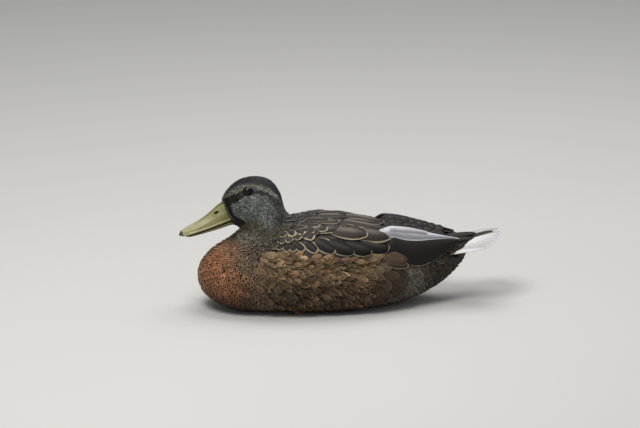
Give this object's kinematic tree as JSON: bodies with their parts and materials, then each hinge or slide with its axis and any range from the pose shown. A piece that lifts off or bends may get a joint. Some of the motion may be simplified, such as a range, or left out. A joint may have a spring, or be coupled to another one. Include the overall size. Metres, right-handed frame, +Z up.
{
  "type": "mallard duck model",
  "caption": "Life-size model of a mallard drake in dull summer plumage, sitting with folded wings, head up and tail low, feet tucked under the belly.",
  "frame": {"origin": "on the floor under the middle of the belly, in the flat that the belly rests on", "axes": "-X is the way the duck faces, +X runs along the body to the tail, -Y is its left side, +Z is up"},
  "size_m": [0.355, 0.133, 0.146],
  "materials": {
    "chestnut": "matt feathers, chestnut with dark spots",
    "grey_brown": "matt fine feathers, grey brown",
    "cap_brown": "matt fine feathers, blackish cap and buff-grey cheeks",
    "bill_olive": "satin horn, olive yellow",
    "nail_black": "satin black horn",
    "tail_white": "matt feathers, white with pinkish buff",
    "dark_brown": "matt feathers, dark brown with buff fringes",
    "tertial_grey": "silky long feathers, grey brown and silver grey",
    "tawny": "matt feathers, tawny with dark centres",
    "eye_brown": "wet polished, very dark brown",
    "leg_orange": "satin scaly skin, orange"
  },
  "bodies": {
    "root": {"trunk": "chestnut", "neck": "grey_brown", "head": "cap_brown", "bill_upper": "bill_olive", "bill_lower": "bill_olive", "bill_nail": "nail_black", "tail": "tail_white", "wing_left": "dark_brown", "tertials_left": "tertial_grey", "primaries_left": "dark_brown", "flank_left": "tawny", "eye_left": "eye_brown", "leg_left": "leg_orange", "foot_left": "leg_orange", "wing_right": "dark_brown", "tertials_right": "tertial_grey", "primaries_right": "dark_brown", "flank_right": "tawny", "eye_right": "eye_brown", "leg_right": "leg_orange", "foot_right": "leg_orange"}
  },
  "joints": []
}
